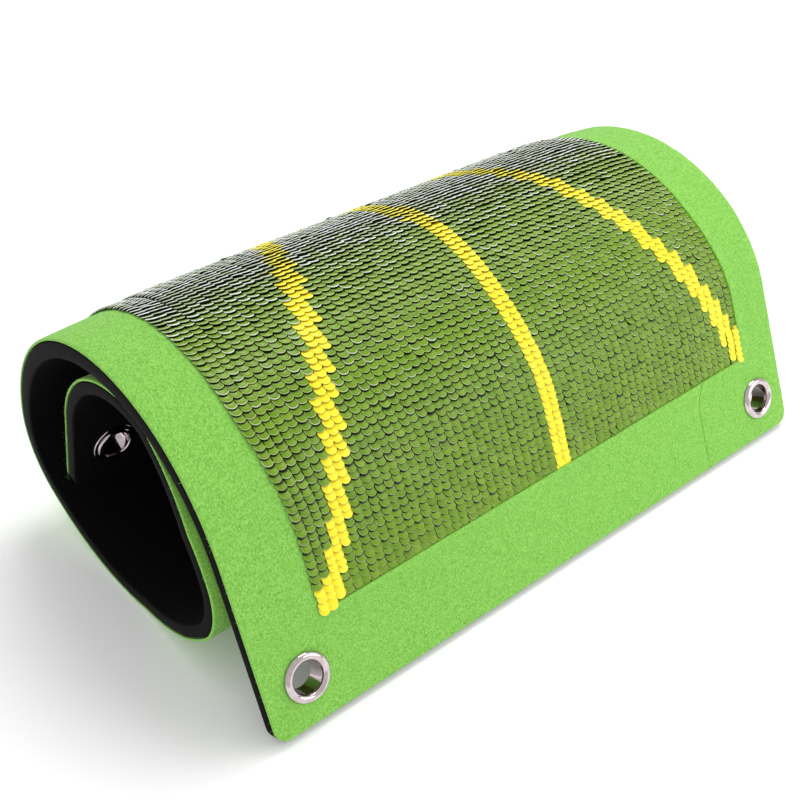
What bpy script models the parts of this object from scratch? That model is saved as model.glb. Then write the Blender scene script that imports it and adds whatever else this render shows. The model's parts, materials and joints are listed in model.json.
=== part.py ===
"""Practice mat, rolled up: a sequin panel in a felt frame on a foam base, with four eyelets.

The mat is laid out flat, as it is cut and sewn: x runs across it, s runs along it from the
hanging flap to the inner end, and depth runs down from the sequins' outer face to the foam's
underside. Every layer is drawn flat and then rolled up along one spiral of straights and arcs.
The foam is divided into rigid bands that hinge on the outer face, so that the mat can unroll.
"""
import math

import bmesh
import bpy
from mathutils import Matrix, Vector

# ---- the flat mat, in metres
WIDTH = 0.310
SIDE_BORDER = 0.0285
END_BORDER = 0.043
CORNER_RADIUS = 0.006
CORNER_STEPS = 3
FELT_SEAM_X = 0.0987          # butt joint in the felt across each end border
CLOTH_UNDER_FELT = 0.007

# ---- depths below the sequins' outer face, in metres
SEQUIN_FACE = 0.0
SEQUIN_BACK = 0.0012
FELT_FACE = 0.0003
FELT_BACK = 0.0012
CLOTH_FACE = 0.0015
CLOTH_BACK = 0.0018
FOAM_FACE = 0.0021
FOAM_BACK = 0.0073
GAP = 0.0003                  # clearance between neighbouring pieces

# ---- the spiral: radii of the outer face in metres, turns in degrees
LEAN = 67.3                   # slope of the hanging flap
FLAP_LENGTH = 0.0705
CROWN_RADIUS = 0.0823
CROWN_TURN = 145.5
BACK_RADIUS = 0.0338
BACK_TURN = 67.6
UNDER_RADIUS = 0.10475
UNDER_TURN = 75.1
HEEL_RADIUS = 0.0311
LAYER_PITCH = 0.0088          # from one layer's outer face to the next
INNER_STRAIGHT = 0.0038
INNER_CROWN_TURN = 48.5
CURL_RADIUS = 0.051
CURL_TURN = 94.0
INNER_END_LENGTH = 0.040
FLOOR_BAND_LENGTH = 0.092     # rigid band that lies on the floor, centred where the roll is level

HEEL_TURN = 360.0 - CROWN_TURN - BACK_TURN - UNDER_TURN   # the inner layer starts parallel to the flap
FACET_TURN = math.radians(6.0)                            # largest turn from one facet to the next

# ---- eyelets, in metres: radius and height above the felt, down the outer side first
EYELET_INSET = 0.019
EYELET_SEGMENTS = 28
HOLE_RADIUS = 0.0072
UNDERSIDE = FELT_FACE - FOAM_BACK      # height of the foam's back
EYELET_PROFILE = (
    (0.0084, 0.0019), (0.0094, 0.0015), (0.0100, 0.0008), (0.0100, 0.0003), (0.0069, 0.0003),
    (0.0069, UNDERSIDE - 0.0010), (0.0084, UNDERSIDE - 0.0011), (0.0076, UNDERSIDE - 0.0016),
    (0.0068, UNDERSIDE - 0.0014), (0.0064, UNDERSIDE - 0.0008),
    (0.0064, 0.0002), (0.0067, 0.0009), (0.0074, 0.0016),
)
WASHER_PROFILE = (
    (0.0100, UNDERSIDE - 0.0003), (0.0096, UNDERSIDE - 0.0007),
    (0.0072, UNDERSIDE - 0.0007), (0.0072, UNDERSIDE - 0.0003),
)

# ---- colours: red, green, blue, roughness, metallic
FELT_GREEN = (0.22, 0.62, 0.07, 0.95, 0.0)
SEQUIN_GREEN = (0.20, 0.33, 0.03, 0.35, 0.0)
CLOTH_GREEN = (0.05, 0.09, 0.02, 0.90, 0.0)
FOAM_BLACK = (0.012, 0.012, 0.013, 0.85, 0.0)
NICKEL = (0.72, 0.72, 0.70, 0.18, 1.0)


def arc(radius, degrees):
    return (radius * math.radians(degrees), math.radians(degrees))


CROWN = arc(CROWN_RADIUS, CROWN_TURN)
BACK = arc(BACK_RADIUS, BACK_TURN)
UNDER = arc(UNDER_RADIUS, UNDER_TURN)
HEEL = arc(HEEL_RADIUS, HEEL_TURN)
INNER_CROWN = arc(CROWN_RADIUS - LAYER_PITCH, INNER_CROWN_TURN)
CURL = arc(CURL_RADIUS, CURL_TURN)

# each stretch of the outer face: length, turn
SPIRAL = (
    (FLAP_LENGTH, 0.0), CROWN, BACK, UNDER, HEEL,
    (INNER_STRAIGHT, 0.0), INNER_CROWN, CURL, (INNER_END_LENGTH, 0.0),
)
LENGTH = sum(stretch[0] for stretch in SPIRAL)
REAR_BORDER = LENGTH - END_BORDER
WINDOW_EDGE = WIDTH / 2.0 - SIDE_BORDER
WORLD_ORIGIN = Vector((0.0, 0.0, 0.0))

# where the rigid bands change from one stretch to the next
CROWN_END = FLAP_LENGTH + CROWN[0]
TURN_TO_LEVEL = math.radians(180.0 + LEAN - CROWN_TURN - BACK_TURN)   # from the start of the underside
LEVEL_MARK = CROWN_END + BACK[0] + UNDER_RADIUS * TURN_TO_LEVEL
FLOOR_BAND_START = LEVEL_MARK - FLOOR_BAND_LENGTH / 2.0
FLOOR_BAND_END = LEVEL_MARK + FLOOR_BAND_LENGTH / 2.0
INNER_LAYER_START = CROWN_END + BACK[0] + UNDER[0] + HEEL[0] + INNER_STRAIGHT

# lengths that are divided evenly into rigid bands: length, number of bands
BAND_GROUPS = (
    (FLAP_LENGTH, 1), (CROWN[0], 4), (FLOOR_BAND_START - CROWN_END, 1), (FLOOR_BAND_LENGTH, 1),
    (INNER_LAYER_START - FLOOR_BAND_END, 2), (INNER_CROWN[0], 1), (CURL[0], 2), (INNER_END_LENGTH, 1),
)
ROOT_BAND = 6                 # index of the band that lies on the floor


def spiral_point(s):
    """Height-and-depth position and slope of the outer face at length s."""
    y, z, slope = 0.0, 0.0, math.radians(LEAN)
    for length, turn in SPIRAL:
        run = min(s, length)
        bend = turn * run / length
        if turn:
            chord = 2.0 * length / turn * math.sin(bend / 2.0)
        else:
            chord = run
        y += chord * math.cos(slope - bend / 2.0)
        z += chord * math.sin(slope - bend / 2.0)
        slope -= bend
        s -= run
        if s <= 0.0:
            break
    return y, z, slope


def band_edges():
    """Lengths s at which the bands meet, with both ends of the mat."""
    edges = [0.0]
    for length, count in BAND_GROUPS:
        start = edges[-1]
        edges += [start + length * (i + 1) / count for i in range(count)]
    return edges


EDGES = band_edges()
BANDS = len(EDGES) - 1


def stations(start, end):
    """Lengths at which a piece from start to end is creased, the same for every layer."""
    marks = [start]
    for low, high in zip(EDGES[:-1], EDGES[1:]):
        turn = abs(spiral_point(high)[2] - spiral_point(low)[2])
        steps = max(1, math.ceil(turn / FACET_TURN - 1e-6))
        marks += [low + (high - low) * i / steps for i in range(steps)]
    inner = [s for s in sorted(set(marks)) if start + GAP < s < end - GAP]
    return [start] + inner + [end]


def unplaced(s, depth):
    y, z, slope = spiral_point(s)
    return Vector((0.0, y + depth * math.sin(slope), z - depth * math.cos(slope)))


def resting_shift():
    """Moves the roll to stand on z = 0, centred on the origin."""
    marks = stations(0.0, LENGTH)
    front = unplaced(0.0, FELT_FACE).y
    back = max(unplaced(s, SEQUIN_FACE).y for s in marks)
    floor = min([unplaced(0.0, FOAM_BACK).z] + [unplaced(s, SEQUIN_FACE).z for s in marks])
    return Vector((0.0, -(front + back) / 2.0, -floor))


SHIFT = resting_shift()


def rolled(x, s, depth):
    """World position of a point of the flat mat once the mat is rolled."""
    return unplaced(s, depth) + SHIFT + Vector((x, 0.0, 0.0))


def pivot(band):
    """Hinge point between a band and its neighbour on the root's side."""
    edge = EDGES[band] if band > ROOT_BAND else EDGES[band + 1]
    return rolled(0.0, edge, SEQUIN_FACE)


def new_collection(name):
    collection = bpy.data.collections.new(name)
    bpy.context.scene.collection.children.link(collection)
    return collection


def material(name, look):
    red, green, blue, roughness, metallic = look
    made = bpy.data.materials.new(name)
    made.use_nodes = True
    shader = made.node_tree.nodes["Principled BSDF"]
    shader.inputs["Base Color"].default_value = (red, green, blue, 1.0)
    shader.inputs["Roughness"].default_value = roughness
    shader.inputs["Metallic"].default_value = metallic
    return made


def add_piece(name, mesh, collection, look, holder):
    piece = bpy.data.objects.new(name, mesh)
    mesh.materials.append(material(name + "_material", look))
    piece.parent = holder
    collection.objects.link(piece)
    return piece


def flat_sheet(columns, marks, keep):
    """Flat faces between the x columns and the s marks, where keep(x, s) is true."""
    bm = bmesh.new()
    bmesh.ops.create_grid(bm, x_segments=len(columns) - 1, y_segments=len(marks) - 1, size=1.0)
    for vert in bm.verts:
        column = round((vert.co.x + 1.0) / 2.0 * (len(columns) - 1))
        mark = round((vert.co.y + 1.0) / 2.0 * (len(marks) - 1))
        vert.co = (columns[column], marks[mark], 0.0)
    outside = [f for f in bm.faces if not keep(f.calc_center_median().x, f.calc_center_median().y)]
    bmesh.ops.delete(bm, geom=outside, context="FACES")
    return bm


def round_corners(bm):
    """Rounds the sheet where it has the mat's own corners."""
    corners = []
    for vert in bm.verts:
        at_side = abs(abs(vert.co.x) - WIDTH / 2.0) < 1e-6
        at_end = min(vert.co.y, LENGTH - vert.co.y) < 1e-6
        if at_side and at_end:
            corners.append(vert)
    if corners:
        bmesh.ops.bevel(bm, geom=corners, offset=CORNER_RADIUS, segments=CORNER_STEPS,
                        affect="VERTICES", profile=0.5)


def roll_up(bm, face_depth, back_depth, name, origin):
    """Gives the flat sheet its thickness, rolls it and makes its mesh about the origin."""
    solid = bmesh.ops.extrude_face_region(bm, geom=bm.faces[:])
    back = {g for g in solid["geom"] if isinstance(g, bmesh.types.BMVert)}
    for vert in bm.verts:
        depth = back_depth if vert in back else face_depth
        vert.co = rolled(vert.co.x, vert.co.y, depth) - origin
    bmesh.ops.recalc_face_normals(bm, faces=bm.faces[:])
    mesh = bpy.data.meshes.new(name)
    bm.to_mesh(mesh)
    bm.free()
    return mesh


def everywhere(x, s):
    return True


def add_cut(piece, cutter):
    cut = piece.modifiers.new("eyelet_hole", "BOOLEAN")
    cut.operation = "DIFFERENCE"
    cut.object = cutter


def holder_place(band):
    """The world origin for the root band, the joint axis for every other band."""
    return WORLD_ORIGIN if band == ROOT_BAND else pivot(band)


def add_band_holder(band, holders, collection):
    """Empty on the band's joint axis, under the holder of its neighbour nearer the root."""
    holder = bpy.data.objects.new("band_%02d" % (band + 1), None)
    collection.objects.link(holder)
    if band != ROOT_BAND:
        neighbour = band - 1 if band > ROOT_BAND else band + 1
        holder.parent = holders[neighbour]
        holder.location = pivot(band) - holder_place(neighbour)
    holders[band] = holder


def add_holders(collection):
    holders = {}
    for band in range(ROOT_BAND, BANDS):
        add_band_holder(band, holders, collection)
    for band in range(ROOT_BAND - 1, -1, -1):
        add_band_holder(band, holders, collection)
    return holders


def add_foam_bands(collection, holders, cutters):
    for band in range(BANDS):
        low = EDGES[band] + (GAP / 2.0 if band else 0.0)
        high = EDGES[band + 1] - (GAP / 2.0 if band < BANDS - 1 else 0.0)
        bm = flat_sheet((-WIDTH / 2.0, WIDTH / 2.0), stations(low, high), everywhere)
        round_corners(bm)
        name = "foam_band_%02d" % (band + 1)
        mesh = roll_up(bm, FOAM_FACE, FOAM_BACK, name, holder_place(band))
        piece = add_piece(name, mesh, collection, FOAM_BLACK, holders[band])
        for cutter in cutters.get(band, ()):
            add_cut(piece, cutter)


def add_sequin_bands(collection, holders):
    half = WINDOW_EDGE - GAP
    for band in range(BANDS - 1):
        low = max(EDGES[band] + GAP / 2.0, END_BORDER + GAP)
        high = min(EDGES[band + 1] - GAP / 2.0, REAR_BORDER - GAP)
        bm = flat_sheet((-half, half), stations(low, high), everywhere)
        name = "sequin_rows_%02d" % (band + 1)
        mesh = roll_up(bm, SEQUIN_FACE, SEQUIN_BACK, name, holder_place(band))
        add_piece(name, mesh, collection, SEQUIN_GREEN, holders[band])


def in_front_felt(x, s):
    """The felt of the left side and of the flap's end, as far as the seam."""
    if x < -WINDOW_EDGE:
        return s < REAR_BORDER
    return s < END_BORDER and x < FELT_SEAM_X


def in_rear_felt(x, s):
    """The rest of the felt: the right side, its front corner and the inner end."""
    if s > REAR_BORDER:
        return True
    return x > WINDOW_EDGE or (s < END_BORDER and x > FELT_SEAM_X)


def open_butt_joints(bm, side):
    """Moves the sheet's edges at both butt joints to its own side by half the clearance."""
    for vert in bm.verts:
        at_seam = abs(vert.co.x - FELT_SEAM_X) < 1e-6 and vert.co.y < END_BORDER + 1e-6
        at_rear = abs(vert.co.y - REAR_BORDER) < 1e-6 and vert.co.x < 1e-6 - WINDOW_EDGE
        if at_seam:
            vert.co.x += side * GAP / 2.0
        if at_rear:
            vert.co.y += side * GAP / 2.0


def add_felt_piece(name, keep, side, holes, collection, holder):
    columns = (-WIDTH / 2.0, -WINDOW_EDGE, FELT_SEAM_X, WINDOW_EDGE, WIDTH / 2.0)
    marks = sorted(stations(0.0, LENGTH) + [END_BORDER, REAR_BORDER])
    bm = flat_sheet(columns, marks, keep)
    open_butt_joints(bm, side)
    round_corners(bm)
    mesh = roll_up(bm, FELT_FACE, FELT_BACK, name, WORLD_ORIGIN)
    piece = add_piece(name, mesh, collection, FELT_GREEN, holder)
    for cutter in holes:
        add_cut(piece, cutter)


def add_felt(collection, holder, cutters):
    front_left, front_right = cutters[0]
    add_felt_piece("felt_left_and_front", in_front_felt, -1.0, [front_left], collection, holder)
    add_felt_piece("felt_right_and_rear", in_rear_felt, 1.0, [front_right] + cutters[BANDS - 1],
                   collection, holder)


def add_ground_cloth(collection, holder):
    half = WINDOW_EDGE + CLOTH_UNDER_FELT
    start = END_BORDER - CLOTH_UNDER_FELT
    marks = stations(start, LENGTH - start)
    bm = flat_sheet((-half, half), marks, everywhere)
    mesh = roll_up(bm, CLOTH_FACE, CLOTH_BACK, "sequin_ground_cloth", WORLD_ORIGIN)
    add_piece("sequin_ground_cloth", mesh, collection, CLOTH_GREEN, holder)


def eyelet_frame(side, band):
    """Centre on the felt's face, and the turn that points local Z out of the felt."""
    s = EYELET_INSET if band == 0 else LENGTH - EYELET_INSET
    x = (-1.0 if side == "left" else 1.0) * (WIDTH / 2.0 - EYELET_INSET)
    slope = spiral_point(s)[2]
    return rolled(x, s, FELT_FACE), Matrix.Rotation(slope, 4, "X")


def turned_mesh(name, profile):
    """Closed outline in the XZ plane, for a Screw modifier to turn about Z."""
    bm = bmesh.new()
    verts = [bm.verts.new((radius, 0.0, height)) for radius, height in profile]
    for first, second in zip(verts, verts[1:] + verts[:1]):
        bm.edges.new((first, second))
    mesh = bpy.data.meshes.new(name)
    bm.to_mesh(mesh)
    bm.free()
    return mesh


def add_turned(name, profile, side, band, collection, holder):
    centre, turn = eyelet_frame(side, band)
    piece = add_piece(name, turned_mesh(name, profile), collection, NICKEL, holder)
    piece.matrix_local = Matrix.Translation(centre - holder_place(band)) @ turn
    screw = piece.modifiers.new("turn", "SCREW")
    screw.axis = "Z"
    screw.steps = EYELET_SEGMENTS
    screw.render_steps = EYELET_SEGMENTS
    screw.use_merge_vertices = True
    screw.merge_threshold = 0.00001
    screw.use_smooth_shade = True


def add_eyelets(collection, holders):
    for band, end in ((0, "front"), (BANDS - 1, "inner")):
        for side in ("left", "right"):
            name = end + "_" + side
            add_turned(name + "_eyelet", EYELET_PROFILE, side, band, collection, holders[band])
            add_turned(name + "_washer", WASHER_PROFILE, side, band, collection, holders[band])


def add_hole_cutters(collection):
    """One cylinder through felt and foam at each eyelet, by band: left, then right."""
    cutters = {0: [], BANDS - 1: []}
    for band in cutters:
        for side in ("left", "right"):
            centre, turn = eyelet_frame(side, band)
            bm = bmesh.new()
            bmesh.ops.create_cone(bm, cap_ends=True, segments=EYELET_SEGMENTS, depth=0.04,
                                  radius1=HOLE_RADIUS, radius2=HOLE_RADIUS)
            mesh = bpy.data.meshes.new("hole_cutter")
            bm.to_mesh(mesh)
            bm.free()
            cutter = bpy.data.objects.new("hole_cutter", mesh)
            cutter.matrix_world = Matrix.Translation(centre) @ turn
            cutter.hide_render = True
            cutter.display_type = "WIRE"
            collection.objects.link(cutter)
            cutters[band].append(cutter)
    return cutters


def build():
    for old in list(bpy.data.objects):
        bpy.data.objects.remove(old, do_unlink=True)
    mat = new_collection("practice_mat")
    tools = new_collection("cutters")
    holders = add_holders(mat)
    cutters = add_hole_cutters(tools)
    add_foam_bands(mat, holders, cutters)
    add_sequin_bands(mat, holders)
    add_felt(mat, holders[ROOT_BAND], cutters)
    add_ground_cloth(mat, holders[ROOT_BAND])
    add_eyelets(mat, holders)


build()
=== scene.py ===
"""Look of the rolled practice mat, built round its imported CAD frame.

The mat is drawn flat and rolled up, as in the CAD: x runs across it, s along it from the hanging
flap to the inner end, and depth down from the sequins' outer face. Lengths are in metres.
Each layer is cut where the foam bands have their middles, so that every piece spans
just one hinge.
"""
import json
import math

import bpy
import numpy as np
from mathutils import Matrix, Vector


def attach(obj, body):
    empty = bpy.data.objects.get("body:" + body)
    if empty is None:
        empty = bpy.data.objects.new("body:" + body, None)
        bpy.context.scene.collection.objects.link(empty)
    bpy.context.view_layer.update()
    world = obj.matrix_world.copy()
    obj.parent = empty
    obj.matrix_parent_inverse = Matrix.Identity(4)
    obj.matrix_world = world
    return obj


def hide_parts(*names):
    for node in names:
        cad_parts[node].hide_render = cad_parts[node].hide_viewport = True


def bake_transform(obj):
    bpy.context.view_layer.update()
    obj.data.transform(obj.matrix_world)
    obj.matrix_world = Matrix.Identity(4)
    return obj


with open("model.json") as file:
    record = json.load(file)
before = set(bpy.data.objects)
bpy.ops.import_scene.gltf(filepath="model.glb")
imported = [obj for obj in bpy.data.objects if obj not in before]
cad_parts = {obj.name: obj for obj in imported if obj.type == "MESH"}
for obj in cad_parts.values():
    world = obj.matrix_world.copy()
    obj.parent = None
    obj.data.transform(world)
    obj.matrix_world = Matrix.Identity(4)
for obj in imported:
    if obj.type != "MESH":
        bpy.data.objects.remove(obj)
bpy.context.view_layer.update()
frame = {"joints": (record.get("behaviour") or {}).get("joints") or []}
RANDOM = np.random.default_rng(7)

# ---- the flat mat, as in the CAD but for the seam's place
WIDTH = 0.310
SIDE_BORDER = 0.0285
END_BORDER = 0.043
CORNER_RADIUS = 0.006
FELT_SEAM_X = 0.0950              # butt joint in the felt of the flap
CLOTH_UNDER_FELT = 0.007
HALF = WIDTH / 2.0
WINDOW = HALF - SIDE_BORDER       # half the width of the sequin window

# ---- the spiral of the outer face, as in the CAD: lengths and radii, turns in degrees
LEAN = 67.3
FLAP_LENGTH = 0.0705
CROWN_RADIUS = 0.0823
CROWN_TURN = 145.5
BACK_RADIUS = 0.0338
BACK_TURN = 67.6
UNDER_RADIUS = 0.10475
UNDER_TURN = 75.1
HEEL_RADIUS = 0.0311
HEEL_TURN = 71.8
LAYER_PITCH = 0.0088
INNER_STRAIGHT = 0.0038
INNER_CROWN_TURN = 48.5
CURL_RADIUS = 0.051
CURL_TURN = 94.0
INNER_END = 0.040
OUTER_ARCS = ((CROWN_RADIUS, CROWN_TURN), (BACK_RADIUS, BACK_TURN),
              (UNDER_RADIUS, UNDER_TURN), (HEEL_RADIUS, HEEL_TURN))
INNER_ARCS = ((CROWN_RADIUS - LAYER_PITCH, INNER_CROWN_TURN), (CURL_RADIUS, CURL_TURN))
FLOOR_BAND_LENGTH = 0.092
ROOT_BAND = 6                     # the band that lies on the floor, counted from 0

# ---- the crown stands a little prouder than its plain arc, most of all at mid-width
CROWN_RIM_SWELL = 0.0018
CROWN_MIDDLE_SWELL = 0.0028
CROWN_SWELL_SPAN = (0.072, 0.135, 0.245, 0.325)   # starts, is full, starts to fade, ends
CROWN_SWELL_DELAY = 0.045         # how much later it is full at the right end
RIGHT_END_LEAN = 0.0024

# ---- over the flap the sequin window is sewn askew: starts and lengths of its rise and fade
WINDOW_SKEW = 0.0046              # to the right
WINDOW_SKEW_RISE = (0.029, 0.013)
WINDOW_SKEW_FADE = (0.068, 0.060)
WINDOW_DROP = ((-0.1265, 0.1265), (0.0055, 0.0020))   # towards the flap's end, from left to right
WINDOW_DROP_RISE = (0.0295, 0.0200)
WINDOW_DROP_FADE = (0.050, 0.065)

# ---- the inner layer wanders a little sideways: lengths and shifts
INNER_WANDER = ((0.400, 0.440, 0.515, 0.560, 0.685), (0.0, -0.0028, -0.0028, 0.0022, 0.0024))

# ---- depths below the sequins' outer face
FELT_FACE = 0.0003
FELT_BACK = 0.0014
CLOTH_FACE = 0.0016
CLOTH_BACK = 0.0019
FOAM_FACE = 0.0020
FOAM_BACK = 0.0073
BEND_DEPTHS = (-0.003, 0.0, FOAM_BACK + 0.006)   # from above the crown's sequins to under its foam

# ---- meshes
EDGE_ROWS = np.array((0.00012, 0.0003, 0.0006))   # close rows beside a cut edge
SHARP_ANGLE = 45.0
NOISE_CELLS = 512                 # the table of random values repeats after this many lumps
FOAM_STEP = 0.0012
CLOTH_STEP_X = 0.003
CLOTH_STEP_S = 0.0015
FELT_STEP = 0.0009

# ---- foam: its back is embossed with a square grid
FOAM_TOP_EDGE = 0.0006
FOAM_TOP_DROP = 0.5               # share of a full rounding
FOAM_BACK_EDGE = 0.0007
EMBOSS_PITCH = 0.0036
EMBOSS_HEIGHT = 0.00014
EMBOSS_STEEPNESS = 2.0
EMBOSS_MARGIN = 0.0012
EMBOSS_BASE = 0.00015             # how far inside the plain back the embossed one lies
FOAM_SHARE_OF_SWELL = 0.9         # the foam is thicker where the crown is prouder

# ---- ground cloth
CLOTH_RELIEF = (0.00004, 0.004, 3)   # height, size and seed

# ---- felt
FELT_EDGE = 0.0006
FELT_LUMPS = ((0.00008, 0.0050, 11), (0.00006, 0.0016, 12))   # height, size and seed
FELT_GRAIN = (0.00005, 0.0008, 13)
FELT_GRAIN_STRETCH = 0.6          # the grain is drawn out along the mat
FELT_NAP = 0.0001                 # how far the needled surface lies below the plain one
FELT_EDGE_DROP = 0.7              # share of a full rounding
FELT_BACK_LIFT = 0.8              # share of the lift below that its back takes
SEAM_HALF_GAP = 0.00012
SEAM_REACH = 0.001                # how far a seam runs on into the window
MARGIN_LIFT = 0.00022             # height to which the felt rides up over the sequin panel
MARGIN_LIFT_WIDTH = 0.006
MARGIN_LIFT_START = (-0.118, 0.010)   # no lift left of here, then how far it takes to be full
FIBRES_PER_AREA = 1.1e6
FIBRE_HALF_WIDTH = 0.000028
FIBRE_RISE = 0.00012
FIBRE_LENGTHS = (0.0006, 0.0019)
FIBRE_CURL = 1.2                  # at most, in radians
FIBRE_RISES = (0.2, 2.2)          # range of its height, in shares of the rise
FIBRE_ROOT = -0.00005             # its start lies this far below the surface
FIBRE_ARCH = ((0.0, 0.0), (0.5, 1.0), (1.0, 0.45))   # shares of its length, and of its height
FIBRE_CLEAR_OF_WINDOW = 0.0026    # on the left half; elsewhere they start at the window
FELT_TINT = 0.55                  # share of the fine colours, in the felt and in its loose fibres
FIBRE_TINT = 0.9

# ---- sequins
SEQUIN_RADIUS = 0.0025
SEQUIN_THICKNESS = 0.00016
SEQUIN_CUP = 0.00008
LIP_START = 0.89                  # in radii
LIP_DROP = 0.00022
COLUMN_PITCH = 0.00424
ROW_PITCH = 0.00285
COLUMNS = 60
LATTICE_SHIFT_X = 0.0003
FIRST_ROW_INSET = 0.0012
LAST_ROW_INSET = 0.0008
SEWING_ERROR = (0.00012, 0.00010)   # of each sequin, across and along the mat
SIDEWAYS_DRIFT = (0.0002, 0.02, 21)   # of whole groups: height, size and seed
LENGTHWAYS_DRIFT = (0.0003, 0.03, 22)
SEQUIN_SIDES = 16

# ---- how a sequin stands: degrees, and depth of its centre
FRONT_TILT = 10.5
CROWN_EXTRA_TILT = 11.5
CROWN_TILT_RISE = (0.10, 0.10)    # starts and lengths, as above
CROWN_TILT_FADE = (0.27, 0.06)
CROWN_TILT_LOSS = 0.6             # share of it that fades behind the crown
TILT_ERROR = 1.8
TILT_DRIFT = (1.5, 0.025, 23)     # height, size and seed
SIDE_TILT = 3.6
SIDE_TILT_ERROR = 1.4
CENTRE_DEPTH = 0.00088
CROWN_RISE = 0.0012
CROWN_RISE_MARGIN = 0.012         # it is less than full as near as this to the window's sides
LIFTED_SHARE = 0.02
LIFTED_TILTS = ((5.0, 14.0), (0.0, 8.0))
FIRST_ROW_TILT = 0.15             # share of the tilt of the others
FIRST_ROW_DEPTH = 0.00095
LEFT_COLUMN_DEPTHS = (-0.00035, 0.00005, 0.00045)
LEFT_COLUMN_EXTRA_TILT = 1.5
LEFT_CORNER_DEPTHS = (-0.00030, 0.00005)   # of its outermost column, and of the next
LEFT_CORNER_TILT = 11.0
RIGHT_CORNER_ROWS = 6
RIGHT_CORNER_DEPTHS = (0.00035, 0.00060)
RIGHT_CORNER_SHIFTS = (0.0006, 0.0003)
RIGHT_CORNER_TILTS = (10.0, 3.0)  # of the free edge, and to the side

# ---- what the look reads from each sequin
SHADE_SPREAD = 0.2
PAINTED_SHADOW_LEAST = 0.05                  # width of the painted shadow under the next row, in radii
PAINTED_SHADOW_SPREAD = 0.30
PAINTED_SHADOW_ON_CROWN = 0.22
PAINTED_SHADOW_CROWN_RISE = (0.13, 0.07)
# painted highlight on each sequin's rim: its least, its random spread, and its rises towards the crown
PAINTED_HIGHLIGHT_LEAST = 0.12
PAINTED_HIGHLIGHT_SPREAD = 0.40
PAINTED_HIGHLIGHT_RISES = ((0.22, 0.06, 0.05), (0.45, 0.135, 0.06))   # height, start and length
FRONT_FADE = (0.27, 0.08)         # behind the crown the rims no longer catch the light
UPPER_NEIGHBOUR = (-0.10, 1.07)   # centres of the two discs that cover a sequin and cast its painted shadows, in radii
SIDE_NEIGHBOUR = (1.67, 0.02)
# width of the painted shadow from the side neighbour, in radii
SIDE_PAINTED_SHADOW = 0.08
RIM_GROWTH = 0.07                 # how much wider the painted rim highlight is at its palest than at its darkest, in radii

# ---- yellow lines
OUTER_LINE_HALF_WIDTH = 0.0049
MIDDLE_LINE_HALF_WIDTH = 0.0045
MIDDLE_LINE_START_X = 0.0042
MIDDLE_LINE_RETURN = (0.10, 0.15)   # start and length of its way back to the middle
LEFT_LINE_SPREAD = 0.1270
RIGHT_LINE_SPREAD = 0.1225
LINE_CURVE = 1.10
LEFT_PATCH_ROWS = 4               # a line's end fills the corner of the window

# ---- eyelets
EYELET_INSET = 0.019
HOLE_RADIUS = 0.0074
HOLE_SURROUND = 0.0105            # just wider than the flange; no loose fibres in it
EYELET_SIDES = 96
UNDERSIDE = FELT_FACE - FOAM_BACK   # height of the foam's back above the felt

# ---- camera, light and floor
CAMERA_PLACE = (-0.31179, -0.34262, 0.36594)
CAMERA_DOWN = 35.45
CAMERA_ROUND = 40.55
CAMERA_LENS = 55.6
KEY_PLACE = (0.7, 0.5, 1.7)
KEY_SIZE = 1.1
KEY_POWER = 17.0
FILL_PLACE = (0.50, -0.62, 0.42)
FILL_SIZE = 0.7
FILL_POWER = 2.5
LIGHTS_AIM = (0.0, 0.0, 0.05)
WORLD_STRENGTH = 0.74
FLOOR_SIZE = 8.0
FLOOR_WHITE = 0.97
FLOOR_GLOW = 0.10


def stretches():
    """Each straight or arc of the outer face: start s, y, z and slope, then length and turn."""
    plan = [(FLAP_LENGTH, 0.0)]
    plan += [(radius * math.radians(turn), math.radians(turn)) for radius, turn in OUTER_ARCS]
    plan += [(INNER_STRAIGHT, 0.0)]
    plan += [(radius * math.radians(turn), math.radians(turn)) for radius, turn in INNER_ARCS]
    plan += [(INNER_END, 0.0)]
    rows = []
    s, y, z, slope = 0.0, 0.0, 0.0, math.radians(LEAN)
    for length, turn in plan:
        rows.append((s, y, z, slope, length, turn))
        chord = 2.0 * length / turn * math.sin(turn / 2.0) if turn else length
        y += chord * math.cos(slope - turn / 2.0)
        z += chord * math.sin(slope - turn / 2.0)
        s += length
        slope -= turn
    return np.array(rows), s


STRETCHES, LENGTH = stretches()
REAR_BORDER = LENGTH - END_BORDER


def outer_face(s):
    """y, z and slope of the outer face at each length in s, before the roll is set down."""
    s = np.asarray(s, float)
    row = STRETCHES[np.clip(np.searchsorted(STRETCHES[:, 0], s, "right") - 1, 0, None)]
    start, y, z, slope, length, turn = np.moveaxis(row, -1, 0)
    run = s - start
    bend = turn * run / length
    chord = run * np.sinc(bend / 2.0 / math.pi)
    return y + chord * np.cos(slope - bend / 2.0), z + chord * np.sin(slope - bend / 2.0), slope - bend


def resting_shift():
    """How far the roll moves to stand on z = 0 with its footprint centred, as in the CAD."""
    joint = next(j for j in frame["joints"] if j["name"] == "unroll")
    y, z = outer_face(BAND_EDGES[ROOT_BAND + 1])[:2]
    return joint["pos_m"][1] - y, joint["pos_m"][2] - z


def band_edges():
    """Lengths at which the foam bands meet, with both ends of the mat."""
    starts = STRETCHES[:, 0]
    level = starts[3] + UNDER_RADIUS * math.radians(180.0 + LEAN - CROWN_TURN - BACK_TURN)
    low, high = level - FLOOR_BAND_LENGTH / 2.0, level + FLOOR_BAND_LENGTH / 2.0
    groups = [(FLAP_LENGTH, 1), (starts[2] - starts[1], 4), (low - starts[2], 1),
              (high - low, 1), (starts[6] - high, 2), (starts[7] - starts[6], 1),
              (starts[8] - starts[7], 2), (INNER_END, 1)]
    edges = [0.0]
    for length, count in groups:
        edges += [edges[-1] + length * (i + 1) / count for i in range(count)]
    return np.array(edges)


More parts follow.
